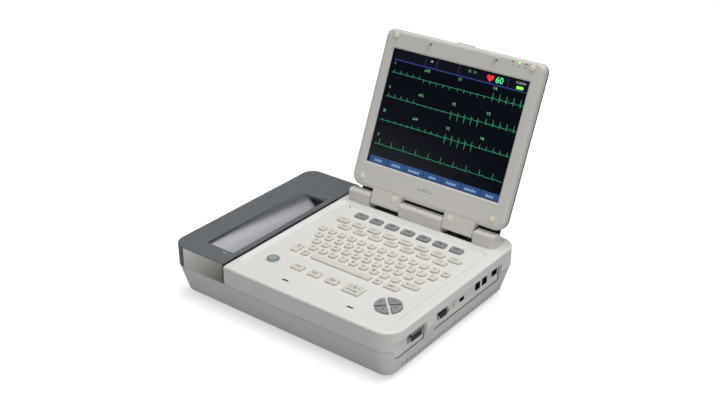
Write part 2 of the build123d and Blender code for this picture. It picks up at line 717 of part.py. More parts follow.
def thermal_head():
    """Print head bar with its cooling block, under the platen."""
    x = PLATEN_AXIS[0]
    top = PLATEN_AXIS[1] - PLATEN_RADIUS - 0.2
    bar = block(x - 5.0, x + 3.6, PAPER_Y[0], PAPER_Y[1], top - 2.5, top)
    sink = block(x - 3.5, x + 3.0, PAPER_Y[0] + 6, PAPER_Y[1] - 6, 60.0, top - 2.5)
    feet = block(x - 3.5, x + 3.0, PAPER_Y[0] + 40, PAPER_Y[1] - 40, 57.6, 60.0)
    return joined([bar, sink, feet])


def platen_roller():
    """Rubber feed roller on a steel shaft, carried by the cover."""
    x, z = PLATEN_AXIS
    shaft = rod_y(-128.0, 96.4, x, z, 2.0)
    return shaft + rod_y(PAPER_Y[0], PAPER_Y[1], x, z, PLATEN_RADIUS)


def gear_point(radius, angle):
    """Point on a gear outline."""
    return (radius * math.cos(angle), radius * math.sin(angle))


def spur_gear(teeth, bore, phase):
    """Involute spur gear lying in the XZ plane between the gear faces, axis along Y."""
    pitch = GEAR_MODULE * teeth / 2
    base = pitch * math.cos(math.radians(20))
    tip = pitch + 0.92 * GEAR_MODULE
    root = pitch - 1.2 * GEAR_MODULE
    involute_pitch = math.tan(math.radians(20)) - math.radians(20)
    half_tooth = math.pi / (2 * teeth) - 0.035 / pitch * GEAR_MODULE
    points = []
    for index in range(teeth):
        centre = 2 * math.pi * index / teeth + phase
        flank = []
        for step in range(6):
            radius = max(base, root) + (tip - max(base, root)) * step / 5
            roll_angle = math.sqrt(max((radius / base) ** 2 - 1, 0))
            spread = half_tooth + involute_pitch - (roll_angle - math.atan(roll_angle))
            flank.append((radius, spread))
        points.append(gear_point(root, centre - flank[0][1]))
        points += [gear_point(radius, centre - spread) for radius, spread in flank]
        points += [gear_point(radius, centre + spread) for radius, spread in reversed(flank)]
        points.append(gear_point(root, centre + flank[0][1]))
    sketch = Polygon(*points, align=None) - Circle(bore)
    return extrude(Plane.XZ.offset(-GEAR_Y[1]) * sketch, GEAR_Y[1] - GEAR_Y[0])


def idler_axis():
    """Idler axis, straight below the platen axis."""
    distance = GEAR_MODULE * (PLATEN_TEETH + IDLER_TEETH) / 2
    return PLATEN_AXIS[0], PLATEN_AXIS[1] - distance


def pinion_axis():
    """Motor axis, beside and below the idler."""
    distance = GEAR_MODULE * (IDLER_TEETH + PINION_TEETH) / 2
    x, z = idler_axis()
    angle = math.radians(PINION_ANGLE)
    return x + distance * math.cos(angle), z + distance * math.sin(angle)


def platen_gear():
    """Gear on the rear end of the platen shaft, a tooth gap facing the idler."""
    phase = -math.pi / 2 + math.pi / PLATEN_TEETH
    return Pos(PLATEN_AXIS[0], 0, PLATEN_AXIS[1]) * spur_gear(PLATEN_TEETH, 2.0, phase)


def idler_gear():
    """Idler between motor and platen, a tooth facing the platen gear."""
    x, z = idler_axis()
    return Pos(x, 0, z) * spur_gear(IDLER_TEETH, 1.5 + RUNNING_GAP, math.pi / 2)


def idler_pin():
    """Fixed pin of the idler gear."""
    x, z = idler_axis()
    return rod_y(91.6, 100.0, x, z, 1.5)


def motor_pinion():
    """Pinion on the motor shaft, phased to the idler."""
    x, z = pinion_axis()
    angle = math.radians(PINION_ANGLE)
    idler_pitch = 2 * math.pi / IDLER_TEETH
    ahead = (angle - math.pi / 2) / idler_pitch
    ahead = (ahead - math.floor(ahead)) * 2 * math.pi / PINION_TEETH
    phase = angle + math.pi + math.pi / PINION_TEETH + ahead
    gear = Pos(x, 0, z) * spur_gear(PINION_TEETH, 1.0, phase)
    return gear + rod_y(91.6, 101.8, x, z, 1.0)


def printer_motor():
    """Stepper motor of the paper drive behind its bracket."""
    x, z = pinion_axis()
    body = rod_y(100.0, 126.0, x, z, 12.0)
    return body - rod_y(99.0, 102.0, x, z, 1.2)


# ---------------------------------------------------------------- display lid
def on_lid(shape):
    """Carry a shape from the lid's own frame to the open rest position."""
    return Pos(LID_X, HINGE_Y, HINGE_Z) * Rot(-LEAN, 0, 0) * shape


def slab(sketch, n0, n1):
    """Prism of a lid sketch between two depths along the lid normal."""
    return extrude(Plane.XZ.offset(n0) * sketch, n1 - n0)


def lid_sketch(inset=0.0):
    """Rounded outline of the lid above the hinge gap."""
    half = LID_WIDTH / 2 - inset
    v0 = LID_BOTTOM + inset
    v1 = LID_TOP - inset
    sketch = Pos(0, (v0 + v1) / 2) * Rectangle(2 * half, v1 - v0)
    corners = [(-half, v0, 18 - inset), (half, v0, 18 - inset)]
    corners += [(half, v1, 13 - inset), (-half, v1, 13 - inset)]
    return rounded(sketch, corners)


def lid_box(x0, x1, v0, v1, n0, n1):
    """Box in the lid's own frame."""
    return block(x0, x1, -n1, -n0, v0, v1)


def lid_tabs():
    """Two hinge tabs below the lid with the bores for the hinge pins."""
    tabs = []
    for side in (-1, 1):
        x0, x1 = sorted((side * TAB_X[0], side * TAB_X[1]))
        tab = lid_box(x0, x1, TAB_BOTTOM, LID_BOTTOM - 0.2, -9.6, FACE_N)
        tab = fillet(tab.edges().filter_by(Axis.X).group_by(Axis.Z)[0], 4.0)
        neck = lid_box(x0, x1, LID_BOTTOM - 1, LID_BOTTOM + 4, SPLIT_N, FACE_N)
        tabs.append(tab + neck - rod_x(x0 - 1, x1 + 1, 0, 0, PIN_RADIUS + RUNNING_GAP))
    return tabs


LAMP_PLACES = [(89.0, 263.6), (99.6, 263.6), (111.0, 263.6)]
BUMPERS = [(122.4, 260.0, 2.4), (122.0, 30.1, 2.4), (52.5, 11.1, 0.9)]
BUTTON = (28.0, 6.0)


def display_bezel():
    """Front shell of the lid with the screen opening."""
    body = slab(lid_sketch(), SPLIT_N, FACE_N)
    body = fillet(body.faces().sort_by(Axis.Y)[0].edges(), 7.0)
    body = body - slab(lid_sketch(3.0), SPLIT_N - 1, PLATE_N)
    body = joined([body] + lid_tabs())
    width, v0, v1 = SCREEN
    opening = Pos(0, (v0 + v1) / 2) * Rectangle(width, v1 - v0)
    bevel = extrude(Rectangle(width + 4.0, v1 - v0 + 4.0), 2.0, taper=45)
    bevel = Pos(0, -FACE_N, (v0 + v1) / 2) * Rot(-90, 0, 0) * bevel
    body = body - slab(opening, 0, FACE_N + 1) - bevel
    for side in (-1, 1):
        x = side * LATCH_X
        body = body - lid_box(x - 1.6, x + 4.6, LATCH_V - 1.5, LATCH_V + 1.5, PLATE_N - 1, FACE_N + 1)
    for x, v in LAMP_PLACES:
        body = body - rod_y(-FACE_N - 1, 0, x, v, 1.5)
    half = BUTTON[0] / 2
    return body - lid_box(-half - 0.3, half + 3.5, LID_TOP - 4, LID_TOP + 2, -2.3, 4.3)


def display_back_cover():
    """Rear shell of the lid with rounded sides and a low apron behind the hinge."""
    depth = SPLIT_N - BACK_N
    shell = extrude(lid_sketch(0.3), depth, taper=10)
    shell = fillet(shell.faces().sort_by(Axis.Z)[-1].edges(), 4.5)
    hollow = extrude(lid_sketch(2.6), depth - 2.2, taper=10)
    shell = shell - hollow
    apron = block(-130.0, 130.0, 8.0, 32.0, depth - 0.2, depth + 2.3)
    shell = shell + fillet(apron.faces().sort_by(Axis.Z)[-1].edges(), 1.5)
    for x in (-95.0, 95.0):
        for v in (60.0, 225.0):
            shell = shell + Pos(x, v, 0) * extrude(Circle(5.5), depth - 1)
            shell = shell - Pos(x, v, depth - 2.0) * extrude(Circle(3.2), 4)
            shell = shell - Pos(x, v, -1) * extrude(Circle(1.7), depth + 2)
    return Pos(0, -SPLIT_N, 0) * Rot(90, 0, 0) * mirror(shell, Plane.XY)


def lid_screws():
    """Four screws in the back of the lid."""
    screws = []
    for x in (-95.0, 95.0):
        for v in (60.0, 225.0):
            head = rod_y(-BACK_N - 2.0, -BACK_N - 0.3, x, v, 3.0) - rod_y(-BACK_N - 1.2, 20, x, v, 1.2)
            screws.append(head + rod_y(-SPLIT_N - 1.0, -BACK_N - 2.0, x, v, 1.5))
    return group(screws)


def lcd_panel():
    """Display module behind the bezel opening."""
    width, v0, v1 = SCREEN
    return lid_box(-width / 2 - 2.5, width / 2 + 2.5, v0 - 2.5, v1 + 2.5, 0.4, PLATE_N)


def display_board():
    """Driver board behind the display module."""
    board = lid_box(-100, 100, 90, 210, -2.2, -0.6)
    spacers = [rod_y(-0.4, 0.6, x, v, 3.0) for x in (-92, 92) for v in (98, 202)]
    return joined([board] + spacers)


def lid_bumpers():
    """Six soft domes that cushion the lid; the lower two stay just clear of the deck rim."""
    bumpers = []
    for x, v, height in BUMPERS:
        for side in (-1, 1):
            dome = extrude(Circle(4.6), height)
            dome = fillet(dome.faces().sort_by(Axis.Z)[-1].edges(), 0.8 * height)
            bumpers.append(Pos(side * x, -FACE_N, v) * Rot(90, 0, 0) * dome)
    return group(bumpers)


def lid_lamps():
    """Three lamp lenses in the top edge of the bezel."""
    return group([rod_y(-FACE_N - 0.3, -PLATE_N + 0.6, x, v, 1.5) for x, v in LAMP_PLACES])


def latch_bar():
    """Sliding bar with the two hooks that lock the lid."""
    bar = lid_box(-66, 66, LATCH_V - 3.5, LATCH_V + 3.5, 3.4, 5.6)
    pieces = [bar]
    for side in (-1, 1):
        x = side * LATCH_X
        tip = FACE_N + 7.9
        pieces.append(lid_box(x - 1.2, x + 1.2, LATCH_V - 1.1, LATCH_V + 1.1, 5.6, tip))
        pieces.append(lid_box(x + 1.2, x + 3.2, LATCH_V - 1.1, LATCH_V + 1.1, tip - 1.4, tip))
    return joined(pieces)


def latch_button():
    """Thumb slide on the top edge of the lid, fixed to the bar."""
    half = BUTTON[0] / 2
    thumb = lid_box(-half, half, LID_TOP - 2.6, LID_TOP + 1.6, -2.0, 4.0)
    thumb = fillet(thumb.faces().sort_by(Axis.Z)[-1].edges(), 1.0)
    for index in range(5):
        x = -8.0 + 4.0 * index
        thumb = thumb - lid_box(x - 0.6, x + 0.6, LID_TOP + 1.0, LID_TOP + 3, -3, 5)
    foot = lid_box(-9, 9, LATCH_V - 3.5, LID_TOP - 2.6, 1.4, 3.4)
    return thumb + foot


# ---------------------------------------------------------------- hinge
def hinge_profile():
    """Side profile of a hinge cover about the hinge axis."""
    foot = DECK_Z - HINGE_Z
    front, back = -HINGE_FRONT, HINGE_FRONT
    points = [(front, foot), (back, foot), (back, 2.5), (4.0, HINGE_RISE), (front, HINGE_RISE)]
    return Polygon(*points, align=None)


def hinge_cover(x0, x1, end_radius):
    """One housing on the deck around the hinge axis, with a low tail behind."""
    cover = Pos(x0, HINGE_Y, HINGE_Z) * extrude(Plane.YZ * hinge_profile(), x1 - x0)
    front = cover.faces().sort_by(Axis.Y)[0]
    if end_radius:
        cover = fillet(front.edges().filter_by(Axis.Z).sort_by(Axis.X)[-1], end_radius)
    crown = cover.faces().sort_by(Axis.Z)[-1]
    rear = crown.edges().sort_by(Axis.Y)[-1]
    rims = [edge for edge in crown.edges() if edge.center() != rear.center()]
    cover = fillet(rims if end_radius else crown.edges().sort_by(Axis.Y)[0], 4.5)
    tail = block(x0, x1, HINGE_Y + 8.0, HINGE_Y + HINGE_REAR, DECK_Z, HINGE_Z - 5.0)
    cover = cover + fillet(tail.edges().sort_by(Axis.Y)[-4:], 2.0)
    for pin0, pin1 in HINGE_PINS:
        cover = cover - rod_x(LID_X + pin0, LID_X + pin1, HINGE_Y, HINGE_Z, PIN_RADIUS)
    return cover


def hinge_covers():
    """The three hinge housings; the right one has a rounded outer corner."""
    covers = []
    for left, right in HINGE_COVERS:
        outer = right == HINGE_COVERS[-1][1]
        covers.append(hinge_cover(LID_X + left, LID_X + right, 11.0 if outer else 0.0))
    return group(covers)


def hinge_pins():
    """Two steel hinge pins held by the hinge covers."""
    ends = [(LID_X + x0, LID_X + x1) for x0, x1 in HINGE_PINS]
    return group([rod_x(x0, x1, HINGE_Y, HINGE_Z, PIN_RADIUS) for x0, x1 in ends])


# ---------------------------------------------------------------- assembly
def assembly():
    """Every node of the model by name."""
    nodes = {
        "lower_casing": lower_casing(),
        "upper_casing": upper_casing(),
        "casing_screws": casing_screws(),
        "rubber_feet": rubber_feet(),
        "battery_door": battery_door(),
        "battery_pack": battery_pack(),
        "rating_plate": rating_plate(),
        "main_board": main_board(),
        "power_supply": power_supply(),
        "switch_board": switch_board(),
        "power_collar": power_collar(),
        "power_key": power_key(),
        "patient_socket": patient_socket(),
        "serial_socket": serial_socket(),
        "audio_jack": audio_jack(),
        "small_port": open_port("small_port", 0.7, (7.0, 1.2, 0.0)),
        "usb_ports": group([open_port(name, 0.9, (2.2, 9.0, 0.0)) for name in USB_PORTS]),
        "network_port": open_port("network_port", 1.0, (9.0, 1.6, 2.6)),
        "mains_inlet": mains_inlet(),
        "earth_terminal": earth_terminal(),
        "deck_lamp": deck_lamp(),
        "printer_housing": printer_housing(),
        "printer_front_panel": printer_front_panel(),
        "printer_cover": printer_cover(),
        "printer_window": printer_window(),
        "printer_rear_cap": printer_rear_cap(),
        "cover_hinge_pins": cover_hinge_pins(),
        "paper_roll": paper_roll(),
        "roll_spindle": roll_spindle(),
        "paper_web": paper_web(),
        "thermal_head": thermal_head(),
        "platen_roller": platen_roller(),
        "platen_gear": platen_gear(),
        "idler_gear": idler_gear(),
        "idler_pin": idler_pin(),
        "motor_pinion": motor_pinion(),
        "printer_motor": printer_motor(),
        "display_bezel": on_lid(display_bezel()),
        "display_back_cover": on_lid(display_back_cover()),
        "lcd_panel": on_lid(lcd_panel()),
        "display_board": on_lid(display_board()),
        "lid_bumpers": on_lid(lid_bumpers()),
        "lid_lamps": on_lid(lid_lamps()),
        "lid_screws": on_lid(lid_screws()),
        "latch_bar": on_lid(latch_bar()),
        "latch_button": on_lid(latch_button()),
        "hinge_covers": hinge_covers(),
        "hinge_pins": hinge_pins(),
    }
    for name, rows in KEYS.items():
        nodes[name] = key_group(rows)
    for name, turn in NAV_KEYS.items():
        nodes[name] = nav_key(turn)
    return nodes


os.makedirs("parts", exist_ok=True)
for node_name, shape in assembly().items():
    export_step(shape, f"parts/{node_name}.step")
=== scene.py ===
import json
import math

import bpy
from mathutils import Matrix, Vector


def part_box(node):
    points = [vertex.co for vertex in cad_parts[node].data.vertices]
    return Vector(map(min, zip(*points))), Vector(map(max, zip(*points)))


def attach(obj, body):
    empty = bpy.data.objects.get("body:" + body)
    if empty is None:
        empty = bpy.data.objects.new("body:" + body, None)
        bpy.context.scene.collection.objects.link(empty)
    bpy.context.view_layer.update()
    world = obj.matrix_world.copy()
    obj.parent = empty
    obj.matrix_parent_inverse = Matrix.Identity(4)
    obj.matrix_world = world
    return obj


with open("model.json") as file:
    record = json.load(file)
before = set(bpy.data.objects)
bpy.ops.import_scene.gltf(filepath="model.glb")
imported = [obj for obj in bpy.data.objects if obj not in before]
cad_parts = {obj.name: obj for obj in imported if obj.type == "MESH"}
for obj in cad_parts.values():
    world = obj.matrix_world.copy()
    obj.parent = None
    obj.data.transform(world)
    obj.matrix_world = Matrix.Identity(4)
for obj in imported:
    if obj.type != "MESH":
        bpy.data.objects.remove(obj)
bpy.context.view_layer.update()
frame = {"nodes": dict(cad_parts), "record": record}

MM = 0.001

# Camera: angles in degrees towards the camera, distance and target in metres, lens for its sensor in mm
CAMERA_AZIMUTH = 37.66
CAMERA_ELEVATION = 27.2
CAMERA_DISTANCE = 1.7967
CAMERA_TARGET = (-0.0655, 0.1196, 0.084)
CAMERA_LENS = 55.64
CAMERA_SENSOR = 36.0

# The lid's own frame at rest: hinge axis, direction up the lid and direction out of the screen
JOINTS = frame["record"]["behaviour"]["joints"]
LID_JOINT = next(joint for joint in JOINTS if joint["name"] == "lid_hinge")
LEAN = math.radians(LID_JOINT["range_deg"][1] - 90.0)
LID_ORIGIN = Vector(LID_JOINT["pos_m"])
LID_UP = Vector((0, math.sin(LEAN), math.cos(LEAN)))
LID_OUT = Vector((0, -math.cos(LEAN), math.sin(LEAN)))


# ---------------------------------------------------------------- colours and materials
# Strengths of fine detail, and the places in metres where gradients and two-tone parts change; the silver
# panel's gradient is a painted highlight and the pane's gradient is painted shade
CASING_MOTTLE = 0.012
PLASTIC_GRAIN = 0.00004
PANEL_HIGHLIGHT_SLOPE = (-0.262, -0.165)
SPLIT_BLUR = 0.0001
SHELL_SPLIT = -0.0028
LIT_LAMP_X = 0.1516
# extents of the pane over which its painted shade fades
PANE_X = (-0.1615, -0.1078)
PANE_Y = (-0.131, 0.0836)


def linear(red, green, blue):
    """sRGB numbers from 0 to 255 as a linear RGBA colour."""
    channels = []
    for value in (red, green, blue):
        value = value / 255.0
        channels.append(value / 12.92 if value <= 0.04045 else ((value + 0.055) / 1.055) ** 2.4)
    return (*channels, 1.0)


def scaled(colour, factor):
    """Lighter or darker copy of a colour."""
    return (*[min(channel * factor, 1.0) for channel in colour[:3]], 1.0)


class Shader:
    """Small helper that builds one node material."""

    def __init__(self, name):
        self.material = bpy.data.materials.new(name)
        self.material.use_nodes = True
        self.tree = self.material.node_tree
        self.bsdf = self.tree.nodes["Principled BSDF"]
        self.output = self.tree.nodes["Material Output"]
        self.coordinates = self.tree.nodes.new("ShaderNodeTexCoord").outputs["Object"]

    def node(self, kind, **settings):
        node = self.tree.nodes.new(kind)
        for key, value in settings.items():
            setattr(node, key, value)
        return node

    def link(self, source, target):
        self.tree.links.new(source, target)

    def noise(self, scale, detail=3.0, stretch=(1, 1, 1)):
        mapping = self.node("ShaderNodeMapping")
        mapping.inputs["Scale"].default_value = stretch
        self.link(self.coordinates, mapping.inputs["Vector"])
        texture = self.node("ShaderNodeTexNoise")
        texture.inputs["Scale"].default_value = scale
        texture.inputs["Detail"].default_value = detail
        self.link(mapping.outputs["Vector"], texture.inputs["Vector"])
        return texture.outputs["Fac"]

    def remap(self, value, low, high, source_low=0.3, source_high=0.7):
        node = self.node("ShaderNodeMapRange")
        node.inputs["From Min"].default_value = source_low
        node.inputs["From Max"].default_value = source_high
        node.inputs["To Min"].default_value = low
        node.inputs["To Max"].default_value = high
        self.link(value, node.inputs["Value"])
        return node.outputs["Result"]

    def blend_colours(self, factor, first, second):
        """Mix of two colours, the second either a plain colour or an output."""
        node = self.node("ShaderNodeMix", data_type="RGBA")
        self.link(factor, node.inputs[0])
        node.inputs[6].default_value = first
        if isinstance(second, tuple):
            node.inputs[7].default_value = second
        else:
            self.link(second, node.inputs[7])
        return node.outputs[2]

    def blend_shaders(self, factor, first, second):
        node = self.node("ShaderNodeMixShader")
        for socket, source in zip(node.inputs, (factor, first, second)):
            self.link(source, socket)
        return node.outputs["Shader"]

    def axes(self):
        """Separated coordinates, read by axis letter."""
        split = self.node("ShaderNodeSeparateXYZ")
        self.link(self.coordinates, split.inputs["Vector"])
        return split.outputs

    def calculate(self, operation, first, second=None, use_clamp=False):
        """Result of one sum; each term is an output or a plain number."""
        node = self.node("ShaderNodeMath", operation=operation, use_clamp=use_clamp)
        for socket, term in zip(node.inputs, (first, second)):
            if isinstance(term, float):
                socket.default_value = term
            elif term is not None:
                self.link(term, socket)
        return node.outputs["Value"]

    def bump(self, height, distance, strength=1.0, rounding=0.0):
        node = self.node("ShaderNodeBump")
        node.inputs["Distance"].default_value = distance
        node.inputs["Strength"].default_value = strength
        self.link(height, node.inputs["Height"])
        if rounding:
            bevel = self.node("ShaderNodeBevel", samples=4)
            bevel.inputs["Radius"].default_value = rounding
            self.link(bevel.outputs["Normal"], node.inputs["Normal"])
        self.link(node.outputs["Normal"], self.bsdf.inputs["Normal"])


def plastic_shader(name, colour, roughness=0.42, rounding=0.0004, mottle=0.05):
    """Textured injection-moulded plastic: fine grain, slight tone and gloss variation, soft edges."""
    shader = Shader(name)
    broad = shader.noise(9.0, 2.0)
    tone = shader.remap(broad, 0.0, 1.0)
    mixed = shader.blend_colours(tone, scaled(colour, 1 - mottle), scaled(colour, 1 + mottle))
    shader.link(mixed, shader.bsdf.inputs["Base Color"])
    gloss = shader.noise(60.0, 4.0)
    shader.link(shader.remap(gloss, roughness - 0.05, roughness + 0.07), shader.bsdf.inputs["Roughness"])
    shader.bump(shader.noise(1400.0, 2.0), PLASTIC_GRAIN, 0.6, rounding)
    return shader


def moulded_plastic(name, colour, **settings):
    """Material of a plain moulded part."""
    return plastic_shader(name, colour, **settings).material


def painted_highlight_panel(name, light, dark):
    """Satin metallic paint with a painted highlight: the base colour is lighter at the upper left and
    darker towards the lower right corner, standing in for the light the glossy panel catches.
    """
    shader = Shader(name)
    axes = shader.axes()
    # painted highlight: base colour lighter towards the upper left, darker towards the lower right
    highlight_slope = shader.calculate("SUBTRACT", axes["X"], axes["Z"])
    tone = shader.remap(highlight_slope, 0.0, 1.0, *PANEL_HIGHLIGHT_SLOPE)
    shader.link(shader.blend_colours(tone, light, dark), shader.bsdf.inputs["Base Color"])
    shader.bsdf.inputs["Metallic"].default_value = 0.08
    streaks = shader.noise(3000.0, 2.0, (0.1, 1, 1))
    shader.link(shader.remap(streaks, 0.36, 0.46), shader.bsdf.inputs["Roughness"])
    shader.bump(streaks, 0.000004, 0.3, 0.0004)
    return shader.material


def two_tone_shell(name, front, rear, split):
    """Moulded lid plastic that changes to the rear shell's colour behind the split plane."""
    shader = plastic_shader(name, front, mottle=CASING_MOTTLE)
    depth = shader.node("ShaderNodeVectorMath", operation="DOT_PRODUCT")
    shader.link(shader.coordinates, depth.inputs[0])
    depth.inputs[1].default_value = LID_OUT
    level = LID_ORIGIN.dot(LID_OUT) + split
    in_front = shader.remap(depth.outputs["Value"], 0.0, 1.0, level - SPLIT_BLUR, level + SPLIT_BLUR)
    surface = shader.bsdf.inputs["Base Color"]
    front_tone = surface.links[0].from_socket
    shader.link(shader.blend_colours(in_front, rear, front_tone), surface)
    return shader.material


def lamp_lens(name):
    """Clear lamp lenses of which only the middle one is lit."""
    shader = Shader(name)
    distance = shader.calculate("SUBTRACT", shader.axes()["X"], LIT_LAMP_X)
    lit = shader.remap(shader.calculate("ABSOLUTE", distance), 1.0, 0.0, 0.002, 0.004)
    mixed = shader.blend_colours(lit, linear(122, 128, 118), linear(150, 250, 130))
    shader.link(mixed, shader.bsdf.inputs["Base Color"])
    shader.link(mixed, shader.bsdf.inputs["Emission Color"])
    shader.link(shader.remap(lit, 0.02, 1.2, 0.0, 1.0), shader.bsdf.inputs["Emission Strength"])
    shader.link(shader.remap(shader.noise(900.0), 0.1, 0.2), shader.bsdf.inputs["Roughness"])
    return shader.material


def silicone(name, colour):
    """Matt silicone rubber with a soft sheen and slight tone variation."""
    shader = Shader(name)
    tone = shader.remap(shader.noise(120.0, 4.0), 0.0, 1.0)
    mixed = shader.blend_colours(tone, scaled(colour, 0.95), scaled(colour, 1.04))
    shader.link(mixed, shader.bsdf.inputs["Base Color"])
    shader.link(shader.remap(shader.noise(300.0), 0.5, 0.66), shader.bsdf.inputs["Roughness"])
    shader.bsdf.inputs["Sheen Weight"].default_value = 0.15
    shader.bsdf.inputs["Subsurface Weight"].default_value = 0.08
    shader.bsdf.inputs["Subsurface Radius"].default_value = (0.002, 0.0015, 0.001)
    shader.bump(shader.noise(2200.0, 2.0), 0.00003, 0.6, 0.0005)
    return shader.material


def metal(name, colour, roughness=0.28, stretch=(1, 1, 1)):
    """Metal with drawn or brushed streaks."""
    shader = Shader(name)
    shader.bsdf.inputs["Metallic"].default_value = 1.0
    streaks = shader.noise(700.0, 3.0, stretch)
    tone = shader.remap(streaks, 0.0, 1.0)
    mixed = shader.blend_colours(tone, scaled(colour, 0.82), scaled(colour, 1.1))
    shader.link(mixed, shader.bsdf.inputs["Base Color"])
    shader.link(shader.remap(streaks, roughness - 0.08, roughness + 0.1), shader.bsdf.inputs["Roughness"])
    shader.bump(streaks, 0.00002, 0.5, 0.0003)
    return shader.material


def smoked_pane(name, shade_tint):
    """Pane with painted shade: it fades from the cover's colour at the back left, where the cover's shadow
    falls on the roll beneath, to clear at the front right.
    """
    shader = Shader(name)
    see_through = shader.node("ShaderNodeBsdfTransparent")
    see_through.inputs["Color"].default_value = linear(234, 234, 236)
    # painted shade: a diffuse layer in the cover's colour, strongest at the back left, stands in for the
    # cover's shadow on the roll seen through the pane
    painted_shade_layer = shader.node("ShaderNodeBsdfDiffuse")
    painted_shade_layer.inputs["Color"].default_value = shade_tint
    axes = shader.axes()
    across = shader.remap(axes["X"], 0.82, 2.8, *PANE_X)
    along = shader.remap(axes["Y"], 0.0, 1.02, *PANE_Y)
    unshaded_share = shader.calculate("SUBTRACT", across, along, use_clamp=True)
    # see-through pane mixed with its painted shade layer
    printed = shader.blend_shaders(unshaded_share, painted_shade_layer.outputs["BSDF"], see_through.outputs["BSDF"])
    gloss = shader.node("ShaderNodeBsdfGlossy")
    haze = shader.remap(shader.noise(14.0, 5.0, (1, 0.2, 1)), 0.03, 0.14)
    shader.link(haze, gloss.inputs["Roughness"])
    facing = shader.node("ShaderNodeLayerWeight")
    facing.inputs["Blend"].default_value = 0.28
    outside = shader.calculate("SUBTRACT", 1.0, shader.node("ShaderNodeNewGeometry").outputs["Backfacing"])
    front_only = shader.calculate("MULTIPLY", facing.outputs["Fresnel"], outside)
    surface = shader.blend_shaders(front_only, printed, gloss.outputs["BSDF"])
    shader.link(surface, shader.output.inputs["Surface"])
    return shader.material


def shell_socket(name, y, z, half_width, half_height):
    """Metal-shelled socket whose insert, round the given centre, is black plastic."""
    shader = Shader(name)
    axes = shader.axes()
    insides = []
    for axis, middle, half in (("Y", y, half_width), ("Z", z, half_height)):
        reach = shader.calculate("ABSOLUTE", shader.calculate("SUBTRACT", axes[axis], middle))
        insides.append(shader.remap(reach, 1.0, 0.0, half, half + 0.0003))
    inside = shader.calculate("MULTIPLY", *insides)
    mixed = shader.blend_colours(inside, linear(196, 194, 188), linear(38, 38, 40))
    shader.link(mixed, shader.bsdf.inputs["Base Color"])
    shader.link(shader.remap(inside, 0.8, 0.0, 0.0, 1.0), shader.bsdf.inputs["Metallic"])
    shader.link(shader.remap(shader.noise(700.0), 0.26, 0.4), shader.bsdf.inputs["Roughness"])
    shader.bump(shader.noise(900.0), 0.00002, 0.5, 0.0003)
    return shader.material


def screen_glass(name):
    """Dark liquid-crystal panel under an anti-glare front, slightly lit."""
    shader = Shader(name)
    tone = shader.remap(shader.noise(5.0, 2.0), 0.0, 1.0)
    mixed = shader.blend_colours(tone, linear(4, 5, 8), linear(7, 9, 14))
    shader.link(mixed, shader.bsdf.inputs["Base Color"])
    shader.link(shader.remap(shader.noise(900.0), 0.16, 0.22), shader.bsdf.inputs["Roughness"])
    shader.bsdf.inputs["Specular IOR Level"].default_value = 0.08
    shader.bsdf.inputs["Emission Color"].default_value = linear(8, 12, 28)
    shader.bsdf.inputs["Emission Strength"].default_value = 0.4
    return shader.material


def lit_pixels(name, colour, strength=0.8):
    """Lit part of the display, with the fine dot pattern of its pixels."""
    shader = Shader(name)
    dots = shader.remap(shader.noise(2600.0, 0.0), 0.8, 1.1)
    mixed = shader.blend_colours(dots, scaled(colour, 0.85), colour)
    shader.link(mixed, shader.bsdf.inputs["Base Color"])
    shader.link(mixed, shader.bsdf.inputs["Emission Color"])
    shader.bsdf.inputs["Emission Strength"].default_value = strength
    shader.bsdf.inputs["Roughness"].default_value = 0.35
    shader.bsdf.inputs["Specular IOR Level"].default_value = 0.15
    return shader.material


def chart_paper(name):
    """Coated thermal paper: near white, very fine fibre relief, with a slight painted glow from emission
    though the paper is no lamp.
    """
    shader = Shader(name)
    fibres = shader.noise(500.0, 5.0)
    tone = shader.remap(fibres, 0.0, 1.0)
    mixed = shader.blend_colours(tone, linear(238, 238, 241), linear(247, 247, 249))
    shader.link(mixed, shader.bsdf.inputs["Base Color"])
    # painted glow: the paper emits a little of its own colour to brighten it
    shader.link(mixed, shader.bsdf.inputs["Emission Color"])
    shader.bsdf.inputs["Emission Strength"].default_value = 0.2
    shader.bsdf.inputs["Roughness"].default_value = 0.5
    shader.bump(fibres, 0.00003, 0.5)
    return shader.material


def printed_ink(name, colour):
    """Screen-printed legend ink with a slightly uneven tone."""
    shader = Shader(name)
    tone = shader.remap(shader.noise(800.0), 0.0, 1.0)
    mixed = shader.blend_colours(tone, scaled(colour, 0.85), scaled(colour, 1.1))
    shader.link(mixed, shader.bsdf.inputs["Base Color"])
    shader.bsdf.inputs["Roughness"].default_value = 0.55
    return shader.material


def circuit_board(name):
    """Green solder-masked board with a faint copper pattern."""
    shader = Shader(name)
    brick = shader.node("ShaderNodeTexBrick")
    brick.inputs["Scale"].default_value = 90.0
    brick.inputs["Color1"].default_value = linear(20, 84, 46)
    brick.inputs["Color2"].default_value = linear(28, 100, 56)
    brick.inputs["Mortar"].default_value = linear(60, 120, 60)
    shader.link(shader.coordinates, brick.inputs["Vector"])
    shader.link(brick.outputs["Color"], shader.bsdf.inputs["Base Color"])
    shader.bsdf.inputs["Roughness"].default_value = 0.35
    shader.bump(shader.noise(900.0), 0.00002)
    return shader.material


